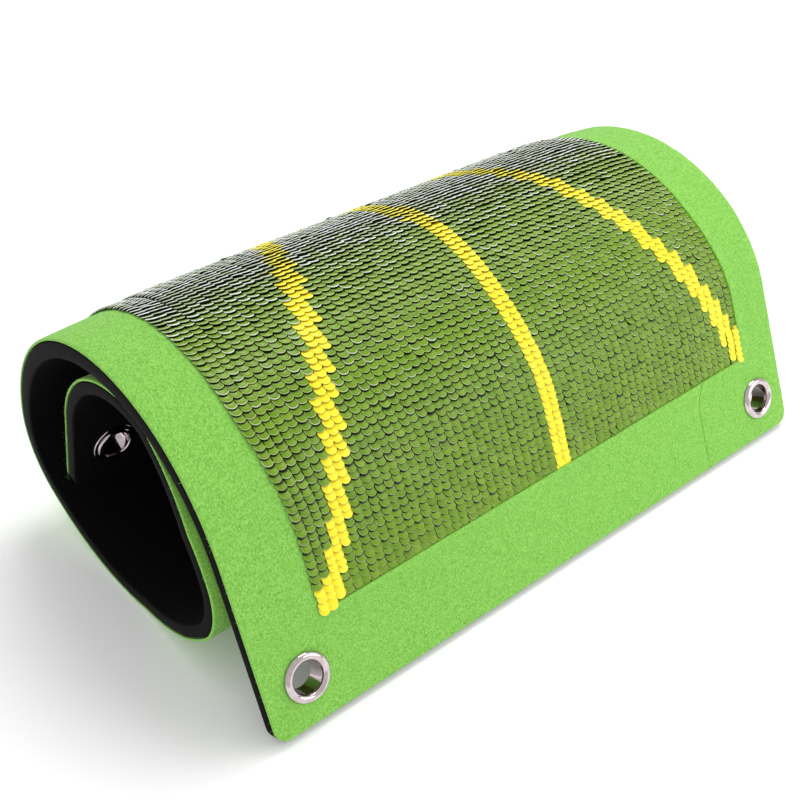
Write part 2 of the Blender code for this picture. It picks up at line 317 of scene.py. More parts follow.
BAND_EDGES = band_edges()
BANDS = len(BAND_EDGES) - 1
HINGES = BANDS - 1
MIDDLES = (BAND_EDGES[1:] + BAND_EDGES[:-1]) / 2.0
SHIFT_Y, SHIFT_Z = resting_shift()


def eased(value):
    """Smooth step from 0 to 1."""
    value = np.clip(value, 0.0, 1.0)
    return value * value * (3.0 - 2.0 * value)


def risen(s, start, length):
    """Smooth step from 0 to 1, over the given length from the start."""
    return eased((s - start) / length)


def crown_swell(x, s):
    """How far the mat stands outside the plain arc of its crown."""
    start, full, fading, end = CROWN_SWELL_SPAN
    full = full + CROWN_SWELL_DELAY * eased(0.5 + 0.5 * x / HALF)
    along = risen(s, start, full - start) * (1.0 - risen(s, fading, end - fading))
    rim = np.clip(np.abs(x) / HALF, 0.0, 1.0) ** 4
    across = CROWN_RIM_SWELL + CROWN_MIDDLE_SWELL * (1.0 - rim)
    turn = np.clip((s - start) / (end - start), 0.0, 1.0) * math.pi
    lean = RIGHT_END_LEAN * eased(x / HALF) * np.sin(2.0 * turn) * np.sin(turn)
    return along * across - lean


def window_skew(x, s):
    """Sideways shift of the sequin window and of the felt next to it."""
    along = risen(s, *WINDOW_SKEW_RISE) * (1.0 - risen(s, *WINDOW_SKEW_FADE))
    return WINDOW_SKEW * along * (1.0 - eased((np.abs(x) - WINDOW) / SIDE_BORDER))


def window_drop(x, s):
    """Shift of the window's lower edge towards the flap's end, most at the left."""
    along = risen(s, *WINDOW_DROP_RISE) * (1.0 - risen(s, *WINDOW_DROP_FADE))
    return np.interp(x, *WINDOW_DROP) * along


def rolled(x, s, depth):
    """Points of the flat mat once it is rolled up, as an array of x, y, z rows."""
    x, s, depth = np.broadcast_arrays(x, s, depth)
    s = s - window_drop(x, s)
    depth = depth - crown_swell(x, s)
    x = x + window_skew(x, s) + np.interp(s, *INNER_WANDER)
    y, z, slope = outer_face(s)
    y = y + depth * np.sin(slope) + SHIFT_Y
    z = z - depth * np.cos(slope) + SHIFT_Z
    return np.stack((x, y, z), -1).reshape(-1, 3)


def noise(x, s, size, seed):
    """Smooth random relief between -1 and 1 whose lumps have the given size."""
    table = np.random.default_rng(seed).uniform(-1.0, 1.0, (NOISE_CELLS, NOISE_CELLS))
    u, v = (x + 1.0) / size, (s + 1.0) / size
    i, j = np.floor(u).astype(int), np.floor(v).astype(int)
    u, v = eased(u - i), eased(v - j)
    i, next_i = i % NOISE_CELLS, (i + 1) % NOISE_CELLS
    j, next_j = j % NOISE_CELLS, (j + 1) % NOISE_CELLS
    near = table[i, j] * (1 - u) + table[next_i, j] * u
    far = table[i, next_j] * (1 - u) + table[next_i, next_j] * u
    return near * (1 - v) + far * v


def drift(x, s, kind):
    """Noise of one kind, which is its height, the size of its lumps and its seed."""
    height, size, seed = kind
    return height * noise(x, s, size, seed)


def steps(low, high, size):
    """Even steps of about the given size, with both ends."""
    return np.linspace(low, high, max(2, int(round((high - low) / size)) + 1))


def with_edge(values, edge, side):
    """Adds the close rows that round a cut edge."""
    return np.unique(np.concatenate((values, edge + side * EDGE_ROWS)))


def rounding(distance, radius):
    """How far a surface drops at this distance from its cut edge."""
    inside = np.clip(radius - distance, 0.0, radius)
    return radius - np.sqrt(radius * radius - inside * inside)


def edge_distance(x, s):
    """Distance from the mat's own outline, corners included."""
    end = np.minimum(s, LENGTH - s)
    side = HALF - np.abs(x)
    corner = CORNER_RADIUS - np.hypot(CORNER_RADIUS - side, CORNER_RADIUS - end)
    in_corner = (end < CORNER_RADIUS) & (side < CORNER_RADIUS)
    return np.clip(np.where(in_corner, corner, np.minimum(end, side)), 0.0, None)


def narrowed(x, s):
    """Draws the sides in near both ends, for the rounded corners."""
    end = np.clip(CORNER_RADIUS - np.minimum(s, LENGTH - s), 0.0, CORNER_RADIUS)
    drop = CORNER_RADIUS - np.sqrt(CORNER_RADIUS ** 2 - end ** 2)
    return x * (HALF - drop) / HALF


def new_mesh(name, points, faces, flat, extra=None, smooth=True):
    """An object from arrays: points, groups of faces, flat coordinates and other named values."""
    mesh = bpy.data.meshes.new(name)
    mesh.vertices.add(len(points))
    mesh.vertices.foreach_set("co", points.astype(np.float32).ravel())
    sizes = np.concatenate([np.full(len(f), f.shape[1]) for f in faces])
    mesh.loops.add(int(sizes.sum()))
    corners = np.concatenate([f.ravel() for f in faces]).astype(np.int32)
    mesh.loops.foreach_set("vertex_index", corners)
    mesh.polygons.add(len(sizes))
    mesh.polygons.foreach_set("loop_start", (np.cumsum(sizes) - sizes).astype(np.int32))
    mesh.polygons.foreach_set("use_smooth", np.full(len(sizes), smooth))
    mesh.update(calc_edges=True)
    mesh.set_sharp_from_angle(angle=math.radians(SHARP_ANGLE))
    for key, values in {"flat": flat, **(extra or {})}.items():
        kind, field = ("FLOAT_VECTOR", "vector") if values.ndim == 2 else ("FLOAT", "value")
        attribute = mesh.attributes.new(key, kind, "POINT")
        attribute.data.foreach_set(field, values.astype(np.float32).ravel())
    made = bpy.data.objects.new(name, mesh)
    bpy.context.scene.collection.objects.link(made)
    return made


def slab(x_values, s_values, top, bottom, keep=None, holes=()):
    """Closed slab between two depths over the kept cells of a flat grid: flat points and quads."""
    x, s = np.meshgrid(x_values, s_values, indexing="ij")
    mid_x = (x[:-1, :-1] + x[1:, 1:]) / 2.0
    mid_s = (s[:-1, :-1] + s[1:, 1:]) / 2.0
    kept = np.ones(mid_x.shape, bool) if keep is None else keep(mid_x, mid_s)
    for hole_x, hole_s in holes:
        kept &= np.hypot(mid_x - hole_x, mid_s - hole_s) > HOLE_RADIUS
    index = np.arange(x.size).reshape(x.shape)
    quads = np.stack((index[:-1, :-1], index[1:, :-1], index[1:, 1:], index[:-1, 1:]), -1)[kept]
    rim = boundary(quads, x.size)
    x, s = x.ravel().copy(), s.ravel().copy()
    for hole_x, hole_s in holes:
        around = rim[np.hypot(x[rim[:, 0]] - hole_x, s[rim[:, 0]] - hole_s) < HOLE_SURROUND, 0]
        reach = np.hypot(x[around] - hole_x, s[around] - hole_s)
        x[around] = hole_x + (x[around] - hole_x) * HOLE_RADIUS / reach
        s[around] = hole_s + (s[around] - hole_s) * HOLE_RADIUS / reach
    x = narrowed(x, s)
    below = quads[:, ::-1] + x.size
    walls = np.stack((rim[:, 0], rim[:, 0] + x.size, rim[:, 1] + x.size, rim[:, 1]), -1)
    flat = np.concatenate((np.stack((x, s, top(x, s)), -1), np.stack((x, s, bottom(x, s)), -1)))
    faces = np.concatenate((quads, below, walls))
    used, faces = np.unique(faces, return_inverse=True)
    return flat[used], faces.reshape(-1, 4)


def boundary(quads, count):
    """Directed edges that only one quad has."""
    edges = np.concatenate([quads[:, (i, (i + 1) % 4)] for i in range(4)])
    key = edges[:, 0] * count + edges[:, 1]
    return edges[~np.isin(key, edges[:, 1] * count + edges[:, 0])]


# ---------------------------------------------------------------- pieces that span one hinge

def piece_span(hinge):
    """Start and end of the piece that spans this hinge: middle to middle, or the mat's end."""
    start = 0.0 if hinge == 0 else MIDDLES[hinge]
    end = LENGTH if hinge == HINGES - 1 else MIDDLES[hinge + 1]
    return start, end


def bend_at(piece, hinge):
    """Works out the mat's cross-sections at its two band middles, which are not used, and bakes the
    piece's place into its mesh.
    """
    x, depth = (grid.ravel() for grid in np.meshgrid((-HALF, 0.0, HALF), BEND_DEPTHS))
    walls = [rolled(x, middle, depth)[:, 1:] for middle in MIDDLES[hinge:hinge + 2]]
    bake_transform(piece)


def finish_piece(piece, hinge, look):
    """Gives a piece its look and bakes its place into its mesh."""
    piece.data.materials.append(look)
    bend_at(piece, hinge)


# ---------------------------------------------------------------- materials

def nodes_of(look):
    return look.node_tree.nodes, look.node_tree.links


def new_look(name, roughness, metallic=0.0):
    """A material and its Principled shader."""
    look = bpy.data.materials.new(name)
    look.use_nodes = True
    shader = look.node_tree.nodes["Principled BSDF"]
    shader.inputs["Roughness"].default_value = roughness
    shader.inputs["Metallic"].default_value = metallic
    return look, shader


def flat_noise(look, scale, detail, stretch=(1.0, 1.0, 1.0)):
    """Noise laid over the flat mat; scale is in lumps per metre."""
    nodes, links = nodes_of(look)
    place = nodes.new("ShaderNodeAttribute")
    place.attribute_name = "flat"
    mapping = nodes.new("ShaderNodeMapping")
    mapping.inputs["Scale"].default_value = stretch
    links.new(place.outputs["Vector"], mapping.inputs["Vector"])
    texture = nodes.new("ShaderNodeTexNoise")
    texture.inputs["Scale"].default_value = scale
    texture.inputs["Detail"].default_value = detail
    links.new(mapping.outputs["Vector"], texture.inputs["Vector"])
    return texture.outputs["Fac"]


def ramp(look, factor, stops):
    """Colour ramp: stops are (position, (red, green, blue))."""
    nodes, links = nodes_of(look)
    node = nodes.new("ShaderNodeValToRGB")
    while len(node.color_ramp.elements) < len(stops):
        node.color_ramp.elements.new(0.5)
    for element, (position, colour) in zip(node.color_ramp.elements, stops):
        element.position = position
        element.color = (*colour, 1.0)
    links.new(factor, node.inputs["Fac"])
    return node.outputs["Color"]


def bump(look, shader, height, strength, distance):
    """Fine relief under the light only, on top of the mesh's own."""
    nodes, links = nodes_of(look)
    node = nodes.new("ShaderNodeBump")
    node.inputs["Strength"].default_value = strength
    node.inputs["Distance"].default_value = distance
    links.new(height, node.inputs["Height"])
    links.new(node.outputs["Normal"], shader.inputs["Normal"])


def value_of(look, name):
    """A named value of the mesh."""
    node = nodes_of(look)[0].new("ShaderNodeAttribute")
    node.attribute_name = name
    return node.outputs["Fac"]


def colour_input(node, name):
    """The Mix node has sockets of one name for each data type: picks the colour ones."""
    return next(s for s in node.inputs if s.name == name and s.type == "RGBA")


def mix_colours(look, factor, first, second):
    """The first colour where the factor is 0 and the second where it is 1."""
    nodes, links = nodes_of(look)
    node = nodes.new("ShaderNodeMix")
    node.data_type = "RGBA"
    links.new(factor, node.inputs[0])
    for name, value in (("A", first), ("B", second)):
        socket = colour_input(node, name)
        if isinstance(value, tuple):
            socket.default_value = (*value, 1.0)
        else:
            links.new(value, socket)
    return next(s for s in node.outputs if s.type == "RGBA")


def felt_look():
    """Lime felt: soft patches, and fine fibres in lighter and darker greens."""
    look, shader = new_look("lime_felt", 0.95)
    links = look.node_tree.links
    coarse = ramp(look, flat_noise(look, 420.0, 4.0),
                  ((0.30, (0.228, 0.540, 0.080)), (0.70, (0.250, 0.575, 0.094))))
    fine = ramp(look, flat_noise(look, 1900.0, 3.0, (1.0, 0.55, 1.0)),
                ((0.36, (0.130, 0.390, 0.040)), (0.50, (0.240, 0.560, 0.088)),
                 (0.64, (0.370, 0.720, 0.170))))
    links.new(mix_colours(look, value_of(look, "tint"), coarse, fine), shader.inputs["Base Color"])
    shader.inputs["Sheen Weight"].default_value = 0.12
    shader.inputs["Specular IOR Level"].default_value = 0.10
    bump(look, shader, flat_noise(look, 1700.0, 3.0), 0.35, 0.0003)
    return look


def calculated(look, operation, first, second):
    """A Math node of two values, sockets or numbers; all but a difference is clamped to 0..1."""
    nodes, links = nodes_of(look)
    node = nodes.new("ShaderNodeMath")
    node.operation = operation
    node.use_clamp = operation != "SUBTRACT"
    for socket, value in zip(node.inputs, (first, second)):
        if isinstance(value, float):
            socket.default_value = value
        else:
            links.new(value, socket)
    return node.outputs["Value"]


def from_disc_point(look, point):
    """Distance on a sequin from a point of its own plane, in sequin radii."""
    nodes, links = nodes_of(look)
    place = nodes.new("ShaderNodeAttribute")
    place.attribute_name = "disc"
    node = nodes.new("ShaderNodeVectorMath")
    node.operation = "DISTANCE"
    node.inputs[1].default_value = (*point, 0.0)
    links.new(place.outputs["Vector"], node.inputs[0])
    return node.outputs["Value"]


def clear_of(look, point, soft):
    """0 where the neighbour centred at this point covers a sequin, 1 well clear of its shadow."""
    # how far a point lies past the neighbour's edge, where its painted shadow falls
    painted_shadow_distance = calculated(look, "SUBTRACT", from_disc_point(look, point), 1.0)
    return calculated(look, "DIVIDE", painted_shadow_distance, soft)


def sequin_look():
    """Film discs: olive or yellow, with a painted highlight on the rim and painted shadow where the
    neighbours shade them.
    """
    look, shader = new_look("sequin_film", 0.24)
    links = look.node_tree.links
    yellow = value_of(look, "yellow")
    shade = value_of(look, "shade")
    green = ramp(look, shade, ((0.0, (0.128, 0.245, 0.010)), (0.5, (0.160, 0.300, 0.013)),
                               (1.0, (0.200, 0.350, 0.018))))
    gold = ramp(look, shade, ((0.0, (0.95, 0.80, 0.016)), (1.0, (1.0, 0.92, 0.040))))
    body = mix_colours(look, yellow, green, gold)
    # painted highlight: a pale rim, paler and wider on some sequins and towards the crown
    pale = ramp(look, value_of(look, "painted_highlight"), ((0.0, (0.22, 0.36, 0.045)), (0.6, (0.42, 0.52, 0.22)),
                                                (1.0, (0.92, 0.95, 0.95))))
    pale = mix_colours(look, yellow, pale, (1.0, 0.93, 0.13))
    reach = calculated(look, "ADD", from_disc_point(look, (0.0, 0.0)),
                       calculated(look, "MULTIPLY", value_of(look, "painted_highlight"), RIM_GROWTH))
    rim = ramp(look, reach, ((0.91, (0.0, 0.0, 0.0)), (0.95, (1.0, 1.0, 1.0))))
    lit = mix_colours(look, rim, body, pale)
    # painted shadow: dark where the upper and side neighbours cover and shade the sequin
    clear = calculated(look, "MINIMUM", clear_of(look, UPPER_NEIGHBOUR, value_of(look, "painted_shadow_distance")),
                       clear_of(look, SIDE_NEIGHBOUR, SIDE_PAINTED_SHADOW))
    shadow = mix_colours(look, yellow, (0.010, 0.017, 0.005), (0.80, 0.60, 0.012))
    top = mix_colours(look, clear, shadow, lit)
    links.new(mix_colours(look, value_of(look, "under"), top, (0.004, 0.005, 0.003)),
              shader.inputs["Base Color"])
    shader.inputs["Specular IOR Level"].default_value = 0.24
    return look


def foam_look():
    """Black closed-cell foam rubber."""
    look, shader = new_look("black_foam", 0.78)
    links = look.node_tree.links
    grain = flat_noise(look, 900.0, 3.0)
    colour = ramp(look, grain, ((0.30, (0.0016, 0.0015, 0.0017)), (0.75, (0.0046, 0.0042, 0.0047))))
    links.new(colour, shader.inputs["Base Color"])
    shader.inputs["Specular IOR Level"].default_value = 0.10
    bump(look, shader, flat_noise(look, 2600.0, 2.0), 0.25, 0.0002)
    return look


def cloth_look():
    """The dark green cloth that the sequins are sewn to."""
    look, shader = new_look("ground_cloth", 0.9)
    weave = flat_noise(look, 1800.0, 2.0)
    colour = ramp(look, weave, ((0.3, (0.020, 0.035, 0.010)), (0.7, (0.055, 0.085, 0.022))))
    look.node_tree.links.new(colour, shader.inputs["Base Color"])
    return look


def nickel_look():
    """Polished nickel, a little worn."""
    look, shader = new_look("nickel", 0.10, 1.0)
    links = look.node_tree.links
    wear = flat_noise(look, 420.0, 3.0)
    colour = ramp(look, wear, ((0.3, (0.52, 0.43, 0.45)), (0.7, (0.66, 0.57, 0.59))))
    links.new(colour, shader.inputs["Base Color"])
    rough = ramp(look, wear, ((0.3, (0.05, 0.05, 0.05)), (0.7, (0.13, 0.13, 0.13))))
    links.new(rough, shader.inputs["Roughness"])
    return look


# ---------------------------------------------------------------- foam

def foam_top(x, s):
    return FOAM_FACE + FOAM_TOP_DROP * rounding(edge_distance(x, s), FOAM_TOP_EDGE)


def foam_bottom(x, s):
    """The back, slightly eased at its edges; under the crown it stays near the plain arc."""
    pattern = np.sin(x * 2 * math.pi / EMBOSS_PITCH) * np.sin(s * 2 * math.pi / EMBOSS_PITCH)
    relief = EMBOSS_HEIGHT * np.clip(pattern * EMBOSS_STEEPNESS, -1.0, 1.0)
    cut = edge_distance(x, s)
    depth = FOAM_BACK - EMBOSS_BASE + relief * (cut > EMBOSS_MARGIN) - rounding(cut, FOAM_BACK_EDGE)
    return depth + FOAM_SHARE_OF_SWELL * crown_swell(x, s)


def eyelet_places(start, end):
    """Flat centres of the eyelets between two lengths."""
    found = []
    for s in (EYELET_INSET, LENGTH - EYELET_INSET):
        if start <= s <= end:
            found += [(-(HALF - EYELET_INSET), s), (HALF - EYELET_INSET, s)]
    return found


def add_foam(look):
    for hinge in range(HINGES):
        start, end = piece_span(hinge)
        xs = with_edge(with_edge(steps(-HALF, HALF, FOAM_STEP), -HALF, 1.0), HALF, -1.0)
        ss = steps(start, end, FOAM_STEP)
        if hinge == 0:
            ss = with_edge(ss, 0.0, 1.0)
        if hinge == HINGES - 1:
            ss = with_edge(ss, LENGTH, -1.0)
        flat, quads = slab(xs, ss, foam_top, foam_bottom, holes=eyelet_places(start, end))
        piece = new_mesh("foam_%02d" % (hinge + 1), rolled(*flat.T), [quads], flat)
        finish_piece(piece, hinge, look)
        last = BANDS if hinge == HINGES - 1 else hinge + 1
        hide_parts(*["foam_band_%02d" % band for band in range(hinge + 1, last + 1)])


# ---------------------------------------------------------------- ground cloth

def cloth_top(x, s):
    return CLOTH_FACE + drift(x, s, CLOTH_RELIEF)


def cloth_bottom(x, s):
    return CLOTH_BACK + drift(x, s, CLOTH_RELIEF)


def add_cloth(look):
    """The strips of ground cloth with their flat sizes, one to a hinge."""
    half = WINDOW + CLOTH_UNDER_FELT
    low, high = END_BORDER - CLOTH_UNDER_FELT, LENGTH - END_BORDER + CLOTH_UNDER_FELT
    made = []
    for hinge in range(HINGES):
        start, end = piece_span(hinge)
        start, end = max(start, low), min(end, high)
        xs, ss = steps(-half, half, CLOTH_STEP_X), steps(start, end, CLOTH_STEP_S)
        flat, quads = slab(xs, ss, cloth_top, cloth_bottom)
        piece = new_mesh("ground_cloth_%02d" % (hinge + 1), rolled(*flat.T), [quads], flat)
        finish_piece(piece, hinge, look)
        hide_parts("sequin_ground_cloth")
        made.append((piece, (2.0 * half, end - start)))
    return made


# ---------------------------------------------------------------- felt

def window_distance(x, s):
    """Distance outwards from the window's edge; negative inside the window."""
    return np.maximum(np.abs(x) - WINDOW, np.maximum(END_BORDER - s, s - REAR_BORDER))


def felt_top(x, s):
    """Needled surface, eased at its cut edges and lifted over the sequin panel's margin."""
    lumps = drift(x, s, FELT_LUMPS[0]) + drift(x, s, FELT_LUMPS[1])
    fibres = drift(x, s * FELT_GRAIN_STRETCH, FELT_GRAIN)
    cut = np.minimum(edge_distance(x, s), np.clip(window_distance(x, s), 0.0, 1.0))
    cut = np.minimum(cut, seam_distance(x, s))
    return FELT_FACE + FELT_NAP + lumps + fibres + FELT_EDGE_DROP * rounding(cut, FELT_EDGE) - lift(x, s)


def felt_bottom(x, s):
    return FELT_BACK - lift(x, s) * FELT_BACK_LIFT


def lift(x, s):
    """The felt rides up over the sequin panel's margin, but lies under it along the left side."""
    near = 1.0 - eased(window_distance(x, s) / MARGIN_LIFT_WIDTH)
    return MARGIN_LIFT * near * risen(x, *MARGIN_LIFT_START)


def seam_distance(x, s):
    """Distance from the two butt joints, at the flap's right and at the left of the rear end."""
    front = np.where(s < END_BORDER + SEAM_REACH, np.abs(x - FELT_SEAM_X), 1.0)
    rear = np.where(x < -WINDOW + SEAM_REACH, np.abs(s - REAR_BORDER), 1.0)
    return np.clip(np.minimum(front, rear) - SEAM_HALF_GAP, 0.0, 1.0)


def in_left_felt(x, s):
    front = (s < END_BORDER) & (x < FELT_SEAM_X)
    return front | ((x < -WINDOW) & (s < REAR_BORDER))


def in_right_felt(x, s):
    return (window_distance(x, s) > 0.0) & ~in_left_felt(x, s)


def fibre_strands(count, x_range, s_range, keep):
    """Loose fibres scattered over the kept part of the felt: flat points and quads."""
    x = RANDOM.uniform(*x_range, count)
    s = RANDOM.uniform(*s_range, count)
    inside = keep(x, s)
    x, s = x[inside], s[inside]
    for hole_x, hole_s in eyelet_places(0.0, LENGTH):
        clear = np.hypot(x - hole_x, s - hole_s) > HOLE_SURROUND
        x, s = x[clear], s[clear]
    return strands(x, s, RANDOM.uniform(0.0, 2 * math.pi, len(x)))


def strands(x, s, heading):
    """Ribbons of two quads each, starting just under the felt's surface."""
    count = len(x)
    length = RANDOM.uniform(*FIBRE_LENGTHS, count)
    curl = RANDOM.uniform(-FIBRE_CURL, FIBRE_CURL, count)
    height = FIBRE_RISE * RANDOM.uniform(*FIBRE_RISES, count)
    flat = []
    for part, lifted in FIBRE_ARCH:
        turn = heading + curl * (part - 0.5)
        px = x + length * part * np.cos(turn)
        ps = np.clip(s + length * part * np.sin(turn), 0.0, LENGTH)
        up = height * lifted if part else np.full(count, FIBRE_ROOT)
        for side in (-1.0, 1.0):
            qx = px - side * FIBRE_HALF_WIDTH * np.sin(turn)
            qs = np.clip(ps + side * FIBRE_HALF_WIDTH * np.cos(turn), 0.0, LENGTH)
            flat.append(np.stack((qx, qs, felt_top(x, s) - up), -1))
    flat = np.stack(flat, 1).reshape(-1, 3)
    base = np.arange(count)[:, None] * 6
    quads = np.concatenate((base + (0, 2, 3, 1), base + (2, 4, 5, 3)))
    return flat, quads


def felt_grid(side, hinge):
    """Flat grid lines of one felt piece, finer at its cut edges."""
    start, end = piece_span(hinge)
    low, high = (-HALF, -WINDOW) if side < 0 else (WINDOW, HALF)
    ss = steps(start, end, FELT_STEP)
    if hinge == 0:
        low, high = (-HALF, FELT_SEAM_X) if side < 0 else (FELT_SEAM_X, HALF)
        ss = with_edge(with_edge(ss, 0.0, 1.0), END_BORDER, -1.0)
        ss = np.unique(np.append(ss, END_BORDER))
    if hinge == HINGES - 1 and side < 0:
        ss = with_edge(steps(start, REAR_BORDER, FELT_STEP), REAR_BORDER, -1.0)
    if hinge == HINGES - 1 and side > 0:
        low = -HALF
        ss = with_edge(with_edge(ss, LENGTH, -1.0), REAR_BORDER, 1.0)
        ss = np.unique(np.append(ss, REAR_BORDER))
    xs = with_edge(with_edge(steps(low, high, FELT_STEP), low, 1.0), high, -1.0)
    for edge in (-WINDOW, WINDOW):
        if low < edge < high:
            xs = np.unique(np.append(with_edge(xs, edge, math.copysign(1.0, edge)), edge))
    return xs, ss


def add_felt_piece(side, hinge, look):
    """One strip of felt with its loose fibres."""
    name, keep, node = (("left", in_left_felt, "felt_left_and_front") if side < 0
                        else ("right", in_right_felt, "felt_right_and_rear"))

    def bears_fibres(x, s):
        return keep(x, s) & (window_distance(x, s) > FIBRE_CLEAR_OF_WINDOW * (x < 0.0))

    xs, ss = felt_grid(side, hinge)
    size = (xs[-1] - xs[0], ss[-1] - ss[0])
    whole = size[0] * size[1]
    mid_x, mid_s = np.meshgrid((xs[1:] + xs[:-1]) / 2, (ss[1:] + ss[:-1]) / 2, indexing="ij")
    area = float(np.outer(np.diff(xs), np.diff(ss))[keep(mid_x, mid_s)].sum())
    flat, quads = slab(xs, ss, felt_top, felt_bottom, keep, eyelet_places(ss[0], ss[-1]))
    loose, loose_quads = fibre_strands(int(whole * FIBRES_PER_AREA), (xs[0], xs[-1]), (ss[0], ss[-1]),
                                       bears_fibres)
    points = np.concatenate((flat, loose))
    faces = np.concatenate((quads, loose_quads + len(flat)))
    tint = np.concatenate((np.full(len(flat), FELT_TINT), np.full(len(loose), FIBRE_TINT)))
    piece = new_mesh("felt_%s_%02d" % (name, hinge + 1), rolled(*points.T), [faces], points,
                     {"tint": tint})
    finish_piece(piece, hinge, look)
    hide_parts(node)


def add_felt(look):
    for side in (-1.0, 1.0):
        for hinge in range(HINGES):
            add_felt_piece(side, hinge, look)


# ---------------------------------------------------------------- sequins

def on_yellow_line(x, s):
    """Whether a sequin belongs to one of the three yellow lines; they cross at mid-length."""
    along = np.clip((s - END_BORDER) / (LENGTH / 2.0 - END_BORDER), 0.0, 2.0)
    spread = np.sign(1.0 - along) * np.abs(1.0 - along) ** LINE_CURVE
    aside = x - MIDDLE_LINE_START_X * (1.0 - risen(s, *MIDDLE_LINE_RETURN))
    from_left = np.abs(aside + LEFT_LINE_SPREAD * spread)
    from_right = np.abs(aside - RIGHT_LINE_SPREAD * spread)
    on_outer = np.minimum(from_left, from_right) < OUTER_LINE_HALF_WIDTH
    return on_outer | (np.abs(aside) < MIDDLE_LINE_HALF_WIDTH)


def in_yellow_corner(column, row):
    """Whether a sequin is in a corner of the window that the end of a line fills."""
    right = (row < RIGHT_CORNER_ROWS) & (column == COLUMNS - 1)
    return right | ((row < LEFT_PATCH_ROWS) & (column < 2))


def sequin_lattice():
    """Column and row numbers of all the sequins, with their flat centres, a little out of line."""
    rows = int((REAR_BORDER - END_BORDER - LAST_ROW_INSET) / ROW_PITCH)
    grids = np.meshgrid(np.arange(COLUMNS), np.arange(rows), indexing="ij")
    column, row = (grid.ravel() for grid in grids)
    x = (column - (COLUMNS - 1) / 2.0) * COLUMN_PITCH - LATTICE_SHIFT_X
    s = END_BORDER + FIRST_ROW_INSET + row * ROW_PITCH
    x = x + RANDOM.normal(0.0, SEWING_ERROR[0], x.size) + drift(x, s, SIDEWAYS_DRIFT)
    s = s + RANDOM.normal(0.0, SEWING_ERROR[1], x.size) + drift(x, s, LENGTHWAYS_DRIFT)
    return column, row, x, s


def sequin_shape():
    """One cupped disc about its centre, free edge towards -s: points, underside and faces."""
    n = SEQUIN_SIDES
    angle = np.arange(n) * 2 * math.pi / n
    ring = np.stack((np.cos(angle), np.sin(angle)), -1)
    inner, outer = ring * SEQUIN_RADIUS * LIP_START, ring * SEQUIN_RADIUS
    points = [(0.0, 0.0, -SEQUIN_CUP)]
    points += [(x, s, 0.0) for x, s in inner]
    points += [(x, s, -LIP_DROP) for x, s in outer]
    points += [(x, s, -LIP_DROP - SEQUIN_THICKNESS) for x, s in outer]
    points += [(0.0, 0.0, -SEQUIN_CUP - SEQUIN_THICKNESS)]
    under = [0.0] * (1 + 3 * n) + [1.0]
    now, after = np.arange(n), (np.arange(n) + 1) % n
    triangles = np.concatenate((
        np.stack((np.zeros(n, int), 1 + now, 1 + after), -1),
        np.stack((np.full(n, 3 * n + 1), 1 + 2 * n + after, 1 + 2 * n + now), -1)))
    quads = np.concatenate((
        np.stack((1 + now, 1 + n + now, 1 + n + after, 1 + after), -1),
        np.stack((1 + n + now, 1 + 2 * n + now, 1 + 2 * n + after, 1 + n + after), -1)))
    return np.array(points), np.array(under), triangles, quads


def sequin_poses(column, row, x, s):
    """Sideways shift, depth, tilt of the free edge and tilt to the side for each sequin."""
    crown = risen(s, *CROWN_TILT_RISE) * (1.0 - CROWN_TILT_LOSS * risen(s, *CROWN_TILT_FADE))
    pitch = FRONT_TILT + CROWN_EXTRA_TILT * crown + RANDOM.normal(0.0, TILT_ERROR, x.size)
    pitch = pitch + drift(x, s, TILT_DRIFT)
    roll = SIDE_TILT + RANDOM.normal(0.0, SIDE_TILT_ERROR, x.size)
    depth = CENTRE_DEPTH - CROWN_RISE * crown * eased((WINDOW - np.abs(x)) / CROWN_RISE_MARGIN)
    lifted = RANDOM.random(x.size) < LIFTED_SHARE
    pitch[lifted] += RANDOM.uniform(*LIFTED_TILTS[0], lifted.sum())
    roll[lifted] += RANDOM.uniform(*LIFTED_TILTS[1], lifted.sum())
    first = row == 0
    pitch[first] *= FIRST_ROW_TILT
    depth[first] = FIRST_ROW_DEPTH
    for left_column, column_depth in enumerate(LEFT_COLUMN_DEPTHS):
        depth[(column == left_column) & ~first] = column_depth
    roll[column == 0] += LEFT_COLUMN_EXTRA_TILT
    left_corner = first & (column < 2)
    depth[left_corner] = np.where(column[left_corner] == 0, *LEFT_CORNER_DEPTHS)
    pitch[left_corner] = LEFT_CORNER_TILT
    right_corner = (row < RIGHT_CORNER_ROWS) & (column >= COLUMNS - 2)
    last = column[right_corner] == COLUMNS - 1
    depth[right_corner] = np.where(last, *RIGHT_CORNER_DEPTHS)
    pitch[right_corner], roll[right_corner] = RIGHT_CORNER_TILTS
    shift = np.zeros(x.size)
    shift[right_corner] = np.where(last, *RIGHT_CORNER_SHIFTS)
    return shift, depth, np.radians(pitch), np.radians(roll)


def placed_sequins(shape, x, s, pitch, roll, depth):
    """World points of every sequin, standing on the rolled mat at its own tilt."""
    slope = outer_face(s)[2]
    along = np.stack((np.zeros_like(s), np.cos(slope), np.sin(slope)), -1)
    out = np.stack((np.zeros_like(s), -np.sin(slope), np.cos(slope)), -1)
    across = np.broadcast_to((1.0, 0.0, 0.0), along.shape)
    tipped = along * np.cos(pitch)[:, None] - out * np.sin(pitch)[:, None]
    normal = out * np.cos(pitch)[:, None] + along * np.sin(pitch)[:, None]
    side = across * np.cos(roll)[:, None] - normal * np.sin(roll)[:, None]
    normal = normal * np.cos(roll)[:, None] + across * np.sin(roll)[:, None]
    centre = rolled(x, s, depth)
    return (centre[:, None] + shape[None, :, 0, None] * side[:, None]
            + shape[None, :, 1, None] * tipped[:, None] + shape[None, :, 2, None] * normal[:, None])


